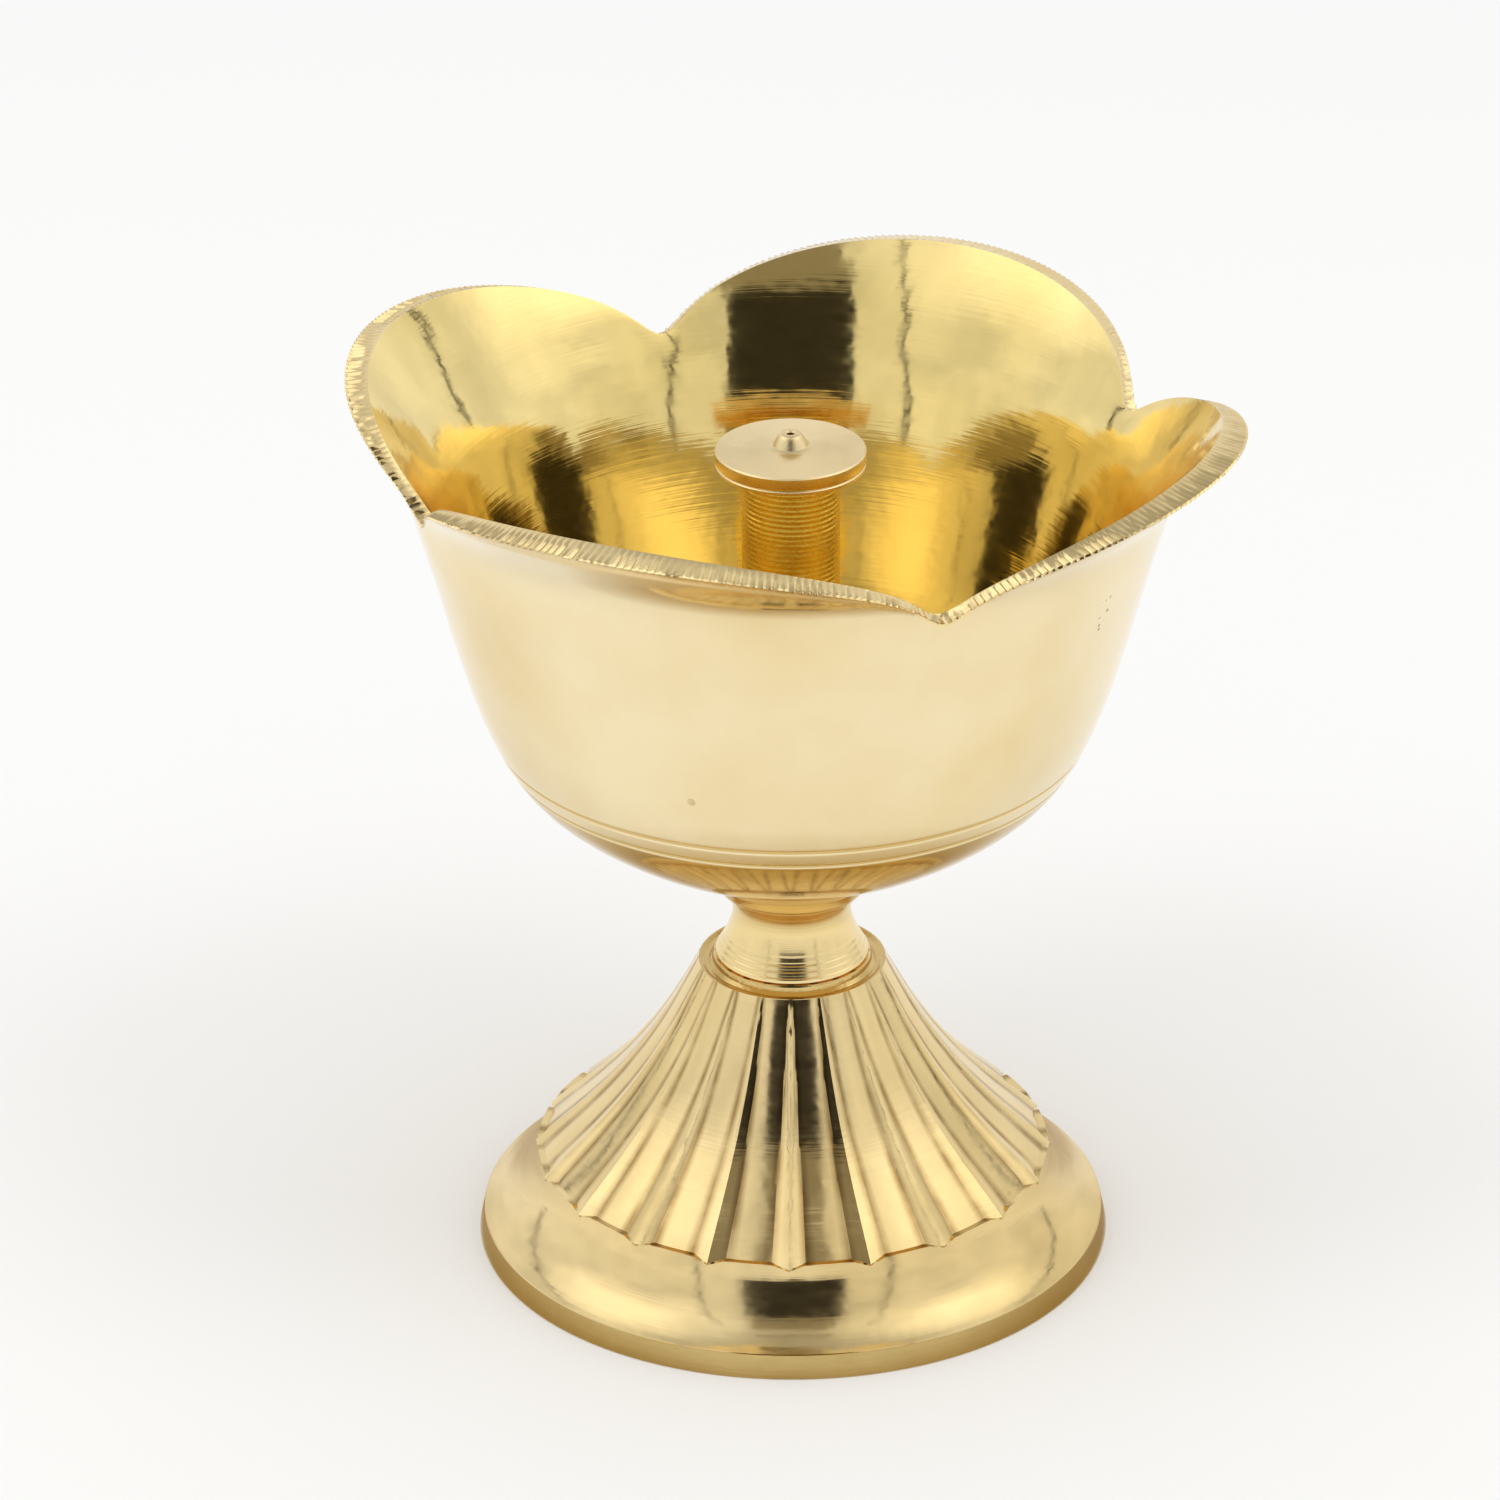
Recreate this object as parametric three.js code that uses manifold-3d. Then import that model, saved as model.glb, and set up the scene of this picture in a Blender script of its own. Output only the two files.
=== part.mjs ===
// A small brass diya: a four-petal lotus bowl on a waisted neck and a fluted trumpet foot, with a
// lift-out wick holder in the bowl and a stud, washer and nut that hold the foot to the neck.
// Millimetres, +Z up. The origin is the centre of the foot's lower edge, and -Y is the front.

import * as THREE from "three";
import { mergeVertices } from "three/addons/utils/BufferGeometryUtils.js";
import Module from "manifold-3d";

const wasm = await Module();
wasm.setup();

// ---- driving dimensions ------------------------------------------------------------------------

const INCH = 25.4;
const TIP_RADIUS = INCH; // the petals' tips: two inches across
const TIP_HEIGHT = 52.1; // outer edge of the rim at a petal's tip
const FOOT_RADIUS = 18.1;
const NECK_BASE = 17.65; // the foot's top face, which the neck stands on
const BOWL_BASE = 23.2; // the neck's top face, which the bowl stands on
const FLOOR = 25.8; // the bowl's floor
const DISC_BASE = 47.75; // underside of the wick holder's disc
const RUNNING_GAP = 0.05; // radial clearance of the wick holder's spigot
const THREAD_GAP = 0.02; // radial clearance that stands in for the threads

// The back, left, front and right petals, cut and bent by hand: the azimuth in degrees, from +X
// towards +Y, of the notch that each starts at, and how much higher and wider its tip is.
const PETALS = [
  { notch: 22.3, lift: -0.34, spread: -0.28 },
  { notch: 110.7, lift: 0.05, spread: 0.35 },
  { notch: 197.9, lift: 0.38, spread: -0.35 },
  { notch: 292.4, lift: -0.09, spread: 0.29 },
];

// ---- smooth profiles ---------------------------------------------------------------------------

// A smooth curve through [radius, height] rows, sampled at `count` points.
function smoothProfile(rows, count) {
  const curve = new THREE.SplineCurve(rows.map(([r, z]) => new THREE.Vector2(r, z)));
  return curve.getPoints(count - 1);
}

// The radius at height z on a profile that climbs steadily.
function radiusAt(profile, z) {
  const last = profile.length - 1;
  let i = 1;
  while (i < last && profile[i].y < z) i += 1;
  const low = profile[i - 1];
  const high = profile[i];
  const share = THREE.MathUtils.clamp((z - low.y) / (high.y - low.y), 0, 1);
  return THREE.MathUtils.lerp(low.x, high.x, share);
}

// A profile turned round Z. `points` are Vector2(radius, height) and run anticlockwise as seen with
// the axis on the left.
function turned(points, segments) {
  return new THREE.LatheGeometry(points, segments).rotateX(Math.PI / 2);
}

const rowsToPoints = (rows) => rows.map(([r, z]) => new THREE.Vector2(r, z));

// ---- booleans ----------------------------------------------------------------------------------

function toManifold(geometry) {
  const positions = new THREE.BufferGeometry()
    .setAttribute("position", geometry.getAttribute("position").clone())
    .setIndex(geometry.index ? geometry.index.clone() : null);
  const merged = mergeVertices(positions, 1e-4);
  const mesh = new wasm.Mesh({
    numProp: 3,
    vertProperties: merged.attributes.position.array,
    triVerts: new Uint32Array(merged.index.array),
  });
  mesh.merge();
  return new wasm.Manifold(mesh);
}

function toGeometry(manifold) {
  const mesh = manifold.getMesh();
  const geometry = new THREE.BufferGeometry();
  geometry.setAttribute("position", new THREE.BufferAttribute(mesh.vertProperties, 3));
  geometry.setIndex(new THREE.BufferAttribute(mesh.triVerts, 1));
  geometry.computeVertexNormals();
  return geometry;
}

function cut(body, ...cutters) {
  const solid = cutters.reduce((left, cutter) => left.subtract(toManifold(cutter)), toManifold(body));
  return toGeometry(solid);
}

// A plain round plug between two heights, for bores and shafts.
function plug(radius, low, high, segments) {
  return turned(rowsToPoints([[0, low], [radius, low], [radius, high], [0, high]]), segments);
}

// ---- materials ---------------------------------------------------------------------------------

function brass(colour, roughness) {
  return new THREE.MeshStandardMaterial({ color: colour, roughness, metalness: 1 });
}

const part = new THREE.Group();
part.name = "diya_oil_lamp";

function addPiece(name, geometry, material) {
  const mesh = new THREE.Mesh(geometry, material);
  mesh.name = name;
  part.add(mesh);
}

// ---- bowl --------------------------------------------------------------------------------------

const PETAL_SEGMENTS = 18;
const PETAL_START = 45.2; // below this height the bowl is plainly turned
const NOTCH_HEIGHT = 47.4;
const INNER_NOTCH_HEIGHT = 47.55;
const PETAL_ROUNDNESS = 0.67; // under 1 makes broad petals with tight notches
const NOTCH_ROUNDING = 0.018; // 0 would make a sharp V
const LAND_TILT = Math.tan(THREE.MathUtils.degToRad(10)); // the rim's land falls outwards
const LAND_AT_TIP = 1.6;

const bowlOutside = [
  [5.4, BOWL_BASE],
  [6.4, 24.15],
  [9.0, 25.35],
  [12.0, 27.1],
  [14.5, 29.05],
  [16.1, 31.0],
  [17.5, 34.0],
  [18.75, 38.0],
  [19.8, 42.0],
  [20.7, PETAL_START],
];
const petalOutside = [
  [20.7, PETAL_START],
  [21.3, NOTCH_HEIGHT],
  [21.9, 48.6],
  [22.85, 49.75],
  [24.05, 50.9],
  [TIP_RADIUS, TIP_HEIGHT],
];
const innerTip = TIP_HEIGHT + LAND_AT_TIP * LAND_TILT;
const petalInside = [
  [19.08, PETAL_START],
  [19.68, 46.4],
  [20.4, INNER_NOTCH_HEIGHT],
  [21.15, 48.8],
  [21.98, 50.0],
  [22.87, 51.2],
  [TIP_RADIUS - LAND_AT_TIP, innerTip],
];
const bowlInside = [
  [4.5, FLOOR],
  [7.0, 26.2],
  [9.4, 26.95],
  [11.1, 27.95],
  [12.35, 29.3],
  [13.4, 30.8],
  [14.3, 32.3],
  [15.1, 34.0],
  [16.5, 38.0],
  [17.86, 42.0],
  [19.08, PETAL_START],
];

// How high the rim is, from 0 in a notch to 1 at a tip, at a share of the way across a petal.
function petalRise(across) {
  const squared = Math.sin(Math.PI * across) ** 2;
  const softened = (squared + NOTCH_ROUNDING) / (1 + NOTCH_ROUNDING);
  return squared * softened ** (PETAL_ROUNDNESS / 2 - 1);
}

// The azimuth of the i-th line of vertices, closer together near the notches, with its petal.
function petalLine(i) {
  const index = Math.floor(i / PETAL_SEGMENTS);
  const petal = PETALS[index];
  const even = (i % PETAL_SEGMENTS) / PETAL_SEGMENTS;
  const across = even - (0.6 * Math.sin(2 * Math.PI * even)) / (2 * Math.PI);
  const end = index + 1 < PETALS.length ? PETALS[index + 1].notch : PETALS[0].notch + 360;
  const azimuth = THREE.MathUtils.degToRad(THREE.MathUtils.lerp(petal.notch, end, across));
  return { azimuth, petal, rise: petalRise(across) };
}

// Turns the bowl's profile, then lowers the petal zone of each line of vertices to that azimuth's
// rim height. The wall stays on its turned surface, bent a little in or out towards each tip.
function lotusBowl() {
  const outerPetal = smoothProfile(petalOutside, 60);
  const innerPetal = smoothProfile(petalInside, 60);
  const outerWall = smoothProfile(bowlOutside, 11);
  const innerWall = smoothProfile(bowlInside, 10);
  const zone = 4;
  const bands = [];
  const points = [];
  const add = (point, band) => {
    points.push(point);
    bands.push(band);
  };
  add(new THREE.Vector2(0, BOWL_BASE), "wall");
  outerWall.slice(0, -1).forEach((p) => add(p, "wall"));
  for (let k = 0; k <= zone; k += 1) {
    const z = THREE.MathUtils.lerp(PETAL_START, TIP_HEIGHT, k / zone);
    add(new THREE.Vector2(0, z), "outer");
  }
  for (let k = zone; k >= 0; k -= 1) {
    const z = THREE.MathUtils.lerp(PETAL_START, innerTip, k / zone);
    add(new THREE.Vector2(0, z), "inner");
  }
  innerWall.slice(0, -1).reverse().forEach((p) => add(p, "wall"));
  add(new THREE.Vector2(0, FLOOR), "wall");

  const segments = PETAL_SEGMENTS * PETALS.length;
  const geometry = turned(points, segments);
  const position = geometry.getAttribute("position");
  for (let i = 0; i <= segments; i += 1) {
    const { azimuth, petal, rise } = petalLine(i % segments);
    for (let j = 0; j < points.length; j += 1) {
      let { x: radius, y: height } = points[j];
      if (bands[j] !== "wall") {
        const outer = bands[j] === "outer";
        const top = outer ? TIP_HEIGHT : innerTip;
        const notch = outer ? NOTCH_HEIGHT : INNER_NOTCH_HEIGHT;
        const rim = THREE.MathUtils.lerp(notch, top, rise);
        const up = (height - PETAL_START) / (top - PETAL_START);
        const level = THREE.MathUtils.lerp(PETAL_START, rim, up);
        radius = radiusAt(outer ? outerPetal : innerPetal, level) + petal.spread * rise * up;
        height = level + petal.lift * rise * up;
      }
      position.setXYZ(
        i * points.length + j,
        radius * Math.cos(azimuth),
        radius * Math.sin(azimuth),
        height,
      );
    }
  }
  return geometry;
}

const SMALL_SEGMENTS = 24;
const SPIGOT_RADIUS = 1.95;
const socket = plug(SPIGOT_RADIUS + RUNNING_GAP, BOWL_BASE - 1, FLOOR + 1, SMALL_SEGMENTS);
addPiece("bowl", cut(lotusBowl(), socket), brass(0xdcbf78, 0.18));

// ---- neck --------------------------------------------------------------------------------------

const STUD_RADIUS = 1.5;
const STUD_TOP = BOWL_BASE - 1.0;

function neck() {
  const side = smoothProfile(
    [
      [4.35, NECK_BASE + 0.25],
      [3.75, 18.95],
      [3.42, 19.9],
      [3.36, 20.5],
      [3.55, 21.3],
      [4.3, 22.1],
      [5.0, 23.0],
    ],
    9,
  );
  const body = turned(
    [
      new THREE.Vector2(0, NECK_BASE),
      new THREE.Vector2(4.35, NECK_BASE),
      ...side,
      new THREE.Vector2(5.0, BOWL_BASE),
      new THREE.Vector2(0, BOWL_BASE),
    ],
    32,
  );
  const tappedHole = plug(STUD_RADIUS + THREAD_GAP, NECK_BASE - 1, STUD_TOP + 0.3, SMALL_SEGMENTS);
  return cut(body, tappedHole);
}

addPiece("neck", neck(), brass(0xe0c88c, 0.3));

// ---- foot --------------------------------------------------------------------------------------

const FLUTES = 20;
const FLUTE_STEPS = [0, 0.17, 0.36, 0.64, 0.83]; // vertices across one flute, from crest to crest
const FLUTE_TURN = THREE.MathUtils.degToRad(-1.3); // the front keel stands this far from -Y
const FLUTE_LOW = 5.2; // the keels' lower tips
const FLUTE_TOP = 17.2; // under the shoulder ring
const KEEL_SHARE_TOP = 0.05; // half a keel's width over the pitch, at the shoulder
const KEEL_SHARE_LOW = 0.22; // and at its lower tip
const KEEL_SLOPE = Math.tan(THREE.MathUtils.degToRad(19.5)); // of a keel's two faces
const CROWN_UNDERSIDE = 13.0;

const crest = [
  [14.82, FLUTE_LOW],
  [14.0, 6.0],
  [11.86, 8.0],
  [9.97, 10.0],
  [8.4, 12.0],
  [7.1, 14.0],
  [6.0, 16.0],
  [5.35, FLUTE_TOP],
];

// How far the fluted surface lies inside the crest line, at a share of the pitch from a crest: a
// roof-shaped keel on each crest, which widens downwards, and a wide plain panel between two keels.
function fluteDrop(share, radius, height) {
  const down = (FLUTE_TOP - height) / (FLUTE_TOP - FLUTE_LOW);
  if (down < 0 || down > 1) return 0;
  const halfWidth = KEEL_SHARE_TOP + (KEEL_SHARE_LOW - KEEL_SHARE_TOP) * down ** 0.5;
  const fromCrest = Math.min(share, 1 - share, halfWidth);
  return (KEEL_SLOPE * fromCrest * 2 * Math.PI * radius) / FLUTES;
}

function flutedFoot() {
  const cove = smoothProfile(
    [
      [FOOT_RADIUS - 0.35, 1.4],
      [16.7, 2.15],
      [15.7, 3.2],
      [15.0, 4.35],
      [14.75, FLUTE_LOW - 0.1],
    ],
    5,
  );
  const flutes = smoothProfile(crest, 7);
  const points = [
    new THREE.Vector2(0, 0),
    new THREE.Vector2(FOOT_RADIUS, 0),
    ...cove,
    ...flutes,
    new THREE.Vector2(4.8, 17.35),
    new THREE.Vector2(4.45, NECK_BASE),
    new THREE.Vector2(0, NECK_BASE),
  ];
  const segments = FLUTES * FLUTE_STEPS.length;
  const geometry = turned(points, segments);
  const position = geometry.getAttribute("position");
  const pitch = (2 * Math.PI) / FLUTES;
  for (let i = 0; i <= segments; i += 1) {
    const flute = Math.floor((i % segments) / FLUTE_STEPS.length);
    const share = FLUTE_STEPS[i % FLUTE_STEPS.length];
    const azimuth = (flute + share) * pitch - Math.PI / 2 + FLUTE_TURN;
    for (let j = 0; j < points.length; j += 1) {
      const { x, y: height } = points[j];
      const radius = x > 4.9 ? x - fluteDrop(share, x, height) : x;
      position.setXYZ(
        i * points.length + j,
        radius * Math.cos(azimuth),
        radius * Math.sin(azimuth),
        height,
      );
    }
  }
  return geometry;
}

function footHollow() {
  const wall = rowsToPoints([
    [0, -1],
    [17.0, -1],
    [17.0, 0.6],
    [15.0, 3.0],
    [13.2, 4.4],
    [10.0, 7.4],
    [7.4, 10.2],
    [5.6, CROWN_UNDERSIDE],
    [0, CROWN_UNDERSIDE],
  ]);
  return turned(wall, 48);
}

const crownBore = plug(STUD_RADIUS + 2 * RUNNING_GAP, CROWN_UNDERSIDE - 1, NECK_BASE + 1, SMALL_SEGMENTS);
addPiece("foot", cut(flutedFoot(), footHollow(), crownBore), brass(0xd2b062, 0.2));

// ---- wick holder -------------------------------------------------------------------------------

const POST_RADIUS = 2.72;
const DISC_RADIUS = 4.2;
const DISC_EDGE = 48.8; // top of the disc's edge
const DISC_CENTRE = 49.05; // the face rises a little to the nozzle
const NOZZLE_TOP = 49.75;
const TENON_RADIUS = 1.3;
const TENON_TOP = DISC_BASE + 0.6;
const SPIGOT_END = BOWL_BASE + 0.2;

const wickPost = turned(
  rowsToPoints([
    [0, SPIGOT_END],
    [SPIGOT_RADIUS, SPIGOT_END],
    [SPIGOT_RADIUS, FLOOR],
    [POST_RADIUS, FLOOR],
    [POST_RADIUS, DISC_BASE],
    [TENON_RADIUS, DISC_BASE],
    [TENON_RADIUS, TENON_TOP],
    [0, TENON_TOP],
  ]),
  SMALL_SEGMENTS,
);
addPiece("wick_post", wickPost, brass(0xb98a2c, 0.4));

const discBlank = turned(
  rowsToPoints([
    [0, DISC_BASE],
    [DISC_RADIUS - 0.1, DISC_BASE],
    [DISC_RADIUS, DISC_BASE + 0.1],
    [DISC_RADIUS, DISC_EDGE - 0.05],
    [DISC_RADIUS - 0.05, DISC_EDGE],
    [0.95, DISC_CENTRE],
    [0.8, DISC_CENTRE + 0.3],
    [0.45, NOZZLE_TOP],
    [0, NOZZLE_TOP],
  ]),
  48,
);
const tenonHole = plug(TENON_RADIUS + THREAD_GAP, DISC_BASE - 1, TENON_TOP + THREAD_GAP, SMALL_SEGMENTS);
const wickHole = plug(0.24, TENON_TOP - 1, NOZZLE_TOP + 1, 12);
addPiece("wick_disc", cut(discBlank, tenonHole, wickHole), brass(0xe6cfa0, 0.35));

// ---- stud, washer and nut ----------------------------------------------------------------------

const WASHER_RADIUS = 3.5;
const WASHER_BASE = CROWN_UNDERSIDE - 0.5;
const NUT_HEIGHT = 2.4;
const NUT_ACROSS_FLATS = 5.5;
const NUT_BASE = WASHER_BASE - NUT_HEIGHT;
const STUD_END = NUT_BASE - 1.2;
const STUD_CHAMFER = 0.3;

const stud = turned(
  rowsToPoints([
    [0, STUD_END],
    [STUD_RADIUS - STUD_CHAMFER, STUD_END],
    [STUD_RADIUS, STUD_END + STUD_CHAMFER],
    [STUD_RADIUS, STUD_TOP - STUD_CHAMFER],
    [STUD_RADIUS - STUD_CHAMFER, STUD_TOP],
    [0, STUD_TOP],
  ]),
  SMALL_SEGMENTS,
);
addPiece("stud", stud, brass(0xb59240, 0.45));

const washerBore = plug(STUD_RADIUS + 2 * RUNNING_GAP, WASHER_BASE - 1, CROWN_UNDERSIDE + 1, SMALL_SEGMENTS);
const washerBlank = plug(WASHER_RADIUS, WASHER_BASE, CROWN_UNDERSIDE, 36);
addPiece("washer", cut(washerBlank, washerBore), brass(0xc2a050, 0.4));

const nutBlank = new THREE.CylinderGeometry(
  NUT_ACROSS_FLATS / Math.sqrt(3),
  NUT_ACROSS_FLATS / Math.sqrt(3),
  NUT_HEIGHT,
  6,
)
  .rotateX(Math.PI / 2)
  .translate(0, 0, NUT_BASE + NUT_HEIGHT / 2);
const nutBore = plug(STUD_RADIUS + THREAD_GAP, NUT_BASE - 1, WASHER_BASE + 1, SMALL_SEGMENTS);
addPiece("nut", cut(nutBlank, nutBore), brass(0xc2a050, 0.4));

export default part;
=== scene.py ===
"""A small polished brass diya lamp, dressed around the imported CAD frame.

Lengths of the pieces are millimetres, and a table of points holds (radius, height) rows. Lengths in
the materials and the studio are metres.
"""

import math

import bmesh
import bpy
import numpy as np
from mathutils import Matrix, Vector


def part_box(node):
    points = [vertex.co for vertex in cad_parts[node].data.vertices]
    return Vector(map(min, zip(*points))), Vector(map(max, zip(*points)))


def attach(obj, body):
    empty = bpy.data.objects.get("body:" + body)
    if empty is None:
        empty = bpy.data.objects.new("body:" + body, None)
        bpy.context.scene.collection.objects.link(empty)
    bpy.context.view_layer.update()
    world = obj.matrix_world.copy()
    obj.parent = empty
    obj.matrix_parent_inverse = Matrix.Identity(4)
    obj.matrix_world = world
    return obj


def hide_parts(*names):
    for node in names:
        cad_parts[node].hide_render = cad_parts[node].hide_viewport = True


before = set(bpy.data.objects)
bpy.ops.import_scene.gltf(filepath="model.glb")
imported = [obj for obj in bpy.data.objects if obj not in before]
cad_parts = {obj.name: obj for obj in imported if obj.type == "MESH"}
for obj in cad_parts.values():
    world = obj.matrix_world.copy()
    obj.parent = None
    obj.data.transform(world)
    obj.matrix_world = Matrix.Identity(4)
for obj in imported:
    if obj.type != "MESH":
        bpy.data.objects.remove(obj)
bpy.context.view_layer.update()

MM = 0.001
STAND, HOLDER = "stand", "wick_holder"
random = np.random.default_rng(20)


# ---- sizes from the frame ------------------------------------------------------------------------


def box_mm(node):
    """The lower and upper corners of a node's box, in millimetres."""
    low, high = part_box(node)
    return np.array(low) / MM, np.array(high) / MM


bowl_low, bowl_high = box_mm("bowl")
_, foot_high = box_mm("foot")
disc_low, disc_high = box_mm("wick_disc")
post_low, post_high = box_mm("wick_post")
stud_low, stud_high = box_mm("stud")
washer_low, washer_high = box_mm("washer")
nut_low, nut_high = box_mm("nut")

FOOT_RADIUS = foot_high[0]
NECK_BASE = foot_high[2]
BOWL_BASE = bowl_low[2]
LAND_TILT = math.tan(math.radians(10))
LAND_AT_TIP = 1.6
PETALS = (  # back, left, front, right: the notch it starts at, and its tip's lift and spread
    (22.3, -0.34, -0.28),
    (110.7, 0.05, 0.35),
    (197.9, 0.38, -0.35),
    (292.4, -0.09, 0.29),
)
INNER_TIP = bowl_high[2] - max(lift for _, lift, _ in PETALS)
TIP_HEIGHT = INNER_TIP - LAND_AT_TIP * LAND_TILT
TIP_RADIUS = 25.4
FLOOR = BOWL_BASE + 2.6
SOCKET_RADIUS = 2.0
FLUTES = 20
FRONT_KEEL = math.radians(-91.3)  # the azimuth of the crest nearest the camera
FLUTE_LOW = 5.2
FLUTE_TOP = 17.2
KEEL_SHARE_TOP = 0.05  # half a keel's width, as a share of the flutes' pitch
KEEL_SHARE_LOW = 0.22
KEEL_SPREAD = 0.5  # how soon a keel widens below the shoulder
KEEL_SLOPE = math.tan(math.radians(19.5))


# ---- meshes --------------------------------------------------------------------------------------

WELD_REACH = 1e-7  # metres


def smooth(rows, count):
    """`count` points on a Catmull-Rom curve through the rows."""
    rows = np.array(rows, float)
    last = len(rows) - 1
    along = np.linspace(0, last, count)
    start = np.minimum(along.astype(int), last - 1)
    t = (along - start)[:, None]
    p0 = rows[np.maximum(start - 1, 0)]
    p1 = rows[start]
    p2 = rows[start + 1]
    p3 = rows[np.minimum(start + 2, last)]
    v0, v1 = (p2 - p0) / 2, (p3 - p1) / 2
    cubic = 2 * p1 - 2 * p2 + v0 + v1
    square = -3 * p1 + 3 * p2 - 2 * v0 - v1
    return cubic * t**3 + square * t**2 + v0 * t + p1


def lengths(line):
    """The distance along a line of points, from its first point to each."""
    steps = np.linalg.norm(np.diff(line, axis=0), axis=1)
    return np.concatenate([[0], np.cumsum(steps)])


def at_lengths(line, wanted):
    """The points of a line at the wanted distances along it."""
    along = lengths(line)
    return np.stack([np.interp(wanted, along, line[:, k]) for k in range(line.shape[1])], axis=-1)


def resampled(line, step):
    """The line with points about `step` apart."""
    total = lengths(line)[-1]
    return at_lengths(line, np.linspace(0, total, max(2, round(total / step) + 1)))


def normals_2d(line):
    """Unit normals of a profile of (radius, height) rows, to the right of its direction."""
    slope = np.gradient(line, axis=0)
    slope /= np.linalg.norm(slope, axis=1)[:, None]
    return np.stack([slope[:, 1], -slope[:, 0]], axis=-1)


def weld_poles(mesh):
    """Merges the first and last rows of a turned piece where they meet the axis."""
    work = bmesh.new()
    work.from_mesh(mesh)
    bmesh.ops.remove_doubles(work, verts=work.verts, dist=WELD_REACH)
    work.to_mesh(mesh)
    work.free()


def make_piece(name, body, nodes, points, materials, bands=None, closed=False, crease=40):
    """A closed skin from a grid of points (rows, columns, xyz) in millimetres.

    The grid wraps round in its columns, and closed wraps its rows too, as on a ring. bands gives each
    row's material, and crease is the angle in degrees over which an edge is sharp.
    """
    rows, columns = points.shape[:2]
    index = np.arange(rows * columns).reshape(rows, columns)
    lower = index if closed else index[:-1]
    upper = np.roll(index, -1, axis=0) if closed else index[1:]
    faces = np.stack([lower, np.roll(lower, -1, axis=1), np.roll(upper, -1, axis=1), upper], axis=-1)
    mesh = bpy.data.meshes.new(name)
    mesh.from_pydata((points.reshape(-1, 3) * MM).tolist(), [], faces.reshape(-1, 4).tolist())
    for material in materials:
        mesh.materials.append(material)
    if bands is not None:
        faces_per_row = np.repeat(np.array(bands)[: len(lower)], columns)
        mesh.polygons.foreach_set("material_index", faces_per_row.astype(np.int32))
    obj = bpy.data.objects.new(name, mesh)
    bpy.context.collection.objects.link(obj)
    if not closed:
        weld_poles(mesh)
    mesh.polygons.foreach_set("use_smooth", np.ones(len(mesh.polygons), bool))
    mesh.set_sharp_from_angle(angle=math.radians(crease))
    mesh.update()
    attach(obj, body)
    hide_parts(*nodes)


def around(azimuth, radius, height):
    """Points round Z. Any of the three may be one number for all of them."""
    azimuth, radius, height = np.broadcast_arrays(azimuth, radius, height)
    return np.stack([radius * np.cos(azimuth), radius * np.sin(azimuth), height], axis=-1)


def turned(profile, columns, radius_change=None):
    """A profile of (radius, height) rows turned round Z, as a grid of points."""
    azimuth = np.linspace(0, 2 * math.pi, columns, endpoint=False)[None, :]
    radius = np.repeat(profile[:, :1], columns, axis=1)
    height = np.repeat(profile[:, 1:], columns, axis=1)
    if radius_change is not None:
        radius = radius + radius_change(azimuth, radius, height)
    return around(azimuth, radius, height)


# ---- materials -----------------------------------------------------------------------------------

PALE, WARM = (0.925, 0.785, 0.50), (0.85, 0.675, 0.36)
GOLD, DEEP = (0.91, 0.724, 0.315), (0.87, 0.672, 0.255)
# Tarnish in the casting pits, and also the painted shade beside the foot's keels
TARNISH_AND_SHADE = (0.30, 0.18, 0.05)
WAVE_HEIGHT = 0.00004
PIT_CLUSTER = (0.0169, -0.0116, 0.0439)
CLUSTER_SQUASH = (1, 1, 0.35)  # makes the cluster taller than it is wide
VALLEY_OFFSET = 0.02  # how far outside a keel's foot the tarnish and painted shade are darkest, as a share of the pitch
VALLEY_SHARE = 0.11  # how far from there it fades out
VALLEY_LOW = FLUTE_LOW + 0.15  # the cove below it stays bright


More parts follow.
